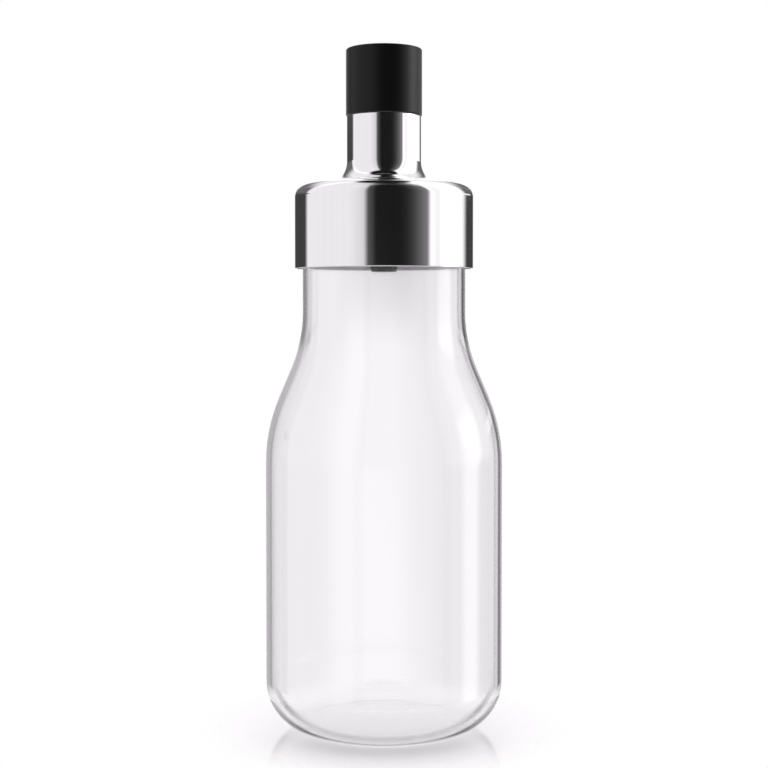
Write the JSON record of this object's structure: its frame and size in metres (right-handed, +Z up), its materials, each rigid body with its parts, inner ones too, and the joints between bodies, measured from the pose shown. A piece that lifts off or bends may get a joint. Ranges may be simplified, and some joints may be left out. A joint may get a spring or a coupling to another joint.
{
  "type": "salad dressing shaker bottle",
  "caption": "Clear glass shaker bottle for salad dressing, with a rounded base and sloping shoulders, a polished steel push-fit lid with a pouring neck, and a black pull-off cap",
  "frame": {"origin": "on the surface that the bottle stands on, under the middle of its base", "axes": "+Z is up, along the upright axis that every piece is turned about; +X is to the right as seen in the picture; +Y is away from the viewer"},
  "size_m": [0.07, 0.07, 0.2],
  "materials": {
    "clear_glass": "clear, fire-polished",
    "polished_steel": "mirror-polished stainless steel",
    "core_plastic": "moulded, fine matte",
    "seal_rubber": "smooth silicone",
    "strainer_plastic": "moulded, fine matte",
    "tube_plastic": "smooth, slightly glossy",
    "spout_plastic": "smooth, slightly glossy",
    "ring_rubber": "smooth rubber",
    "cap_plastic": "satin",
    "plug_rubber": "smooth silicone"
  },
  "bodies": {
    "bottle": {"glass_bottle": "clear_glass"},
    "lid": {"lid_shell": "polished_steel", "stopper_core": "core_plastic", "neck_seal": "seal_rubber", "strainer": "strainer_plastic", "vent_tube": "tube_plastic", "pour_spout": "spout_plastic", "spout_ring": "ring_rubber"},
    "cap": {"cap_shell": "cap_plastic", "cap_plug": "plug_rubber"}
  },
  "joints": [
    {"name": "lid_lift", "type": "slide", "parent": "bottle", "child": "lid", "axis": [0, 0, 1], "range_m": [0, 0.032]},
    {"name": "cap_lift", "type": "slide", "parent": "lid", "child": "cap", "axis": [0, 0, 1], "range_m": [0, 0.025]}
  ]
}
